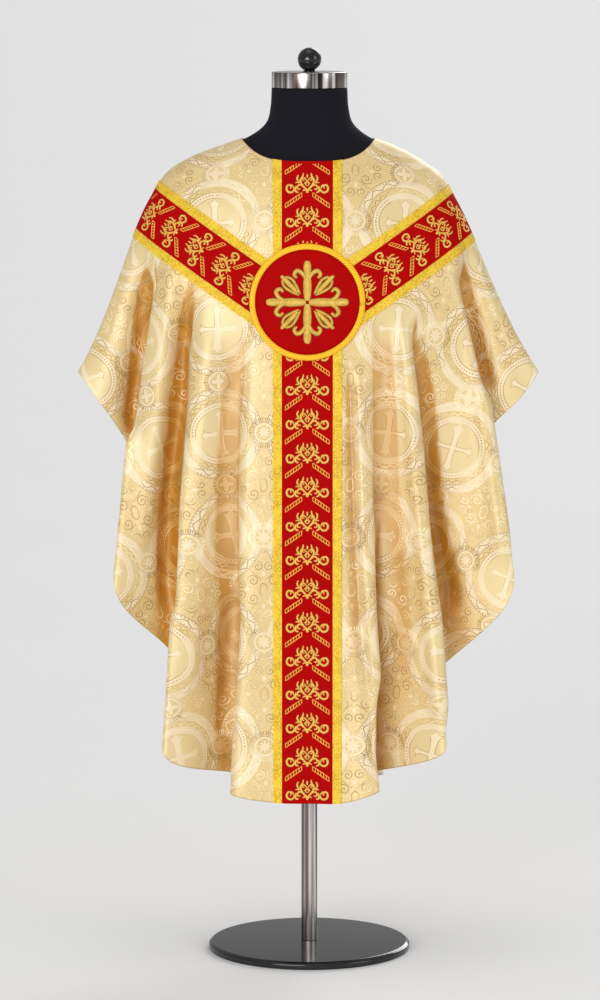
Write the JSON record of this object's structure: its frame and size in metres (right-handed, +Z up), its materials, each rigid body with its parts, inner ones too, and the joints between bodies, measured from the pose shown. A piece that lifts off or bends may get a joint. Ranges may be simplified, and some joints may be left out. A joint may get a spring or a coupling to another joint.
{
  "type": "gothic chasuble on a dress form",
  "caption": "Gothic chasuble in cream and gold cross brocade with red and gold orphreys and a round breast emblem, draped on a limbless dress form on a round base.",
  "frame": {"origin": "on the floor under the middle of the dress form's round base", "axes": "+Z up, the front of the garment faces -Y, +X is to the viewer's right when the front is seen"},
  "size_m": [0.8587, 0.38, 1.6963],
  "materials": {
    "brocade": "satin brocade woven in cream and gold, large crosses in circles among scrolls",
    "orphrey": "matt red cloth embroidered with gold scrolls",
    "braid": "bright gold braid, cord and satin stitch",
    "jersey": "matt black knit",
    "chrome": "polished",
    "enamel": "gloss black"
  },
  "bodies": {
    "root": {"front_panel": "brocade", "back_panel": "brocade", "front_upright_band": "orphrey", "front_upright_braid_left": "braid", "front_upright_braid_right": "braid", "front_slant_band_left": "orphrey", "front_slant_band_right": "orphrey", "front_slant_braid_upper_left": "braid", "front_slant_braid_upper_right": "braid", "front_slant_braid_lower_left": "braid", "front_slant_braid_lower_right": "braid", "back_upright_band": "orphrey", "back_upright_braid_left": "braid", "back_upright_braid_right": "braid", "back_slant_band_left": "orphrey", "back_slant_band_right": "orphrey", "back_slant_braid_upper_left": "braid", "back_slant_braid_upper_right": "braid", "back_slant_braid_lower_left": "braid", "back_slant_braid_lower_right": "braid", "roundel": "orphrey", "roundel_border": "braid", "roundel_cross": "braid", "form_torso": "jersey", "form_neck_cap": "chrome", "form_knob": "enamel", "form_base": "enamel", "form_pole": "chrome"}
  },
  "joints": []
}
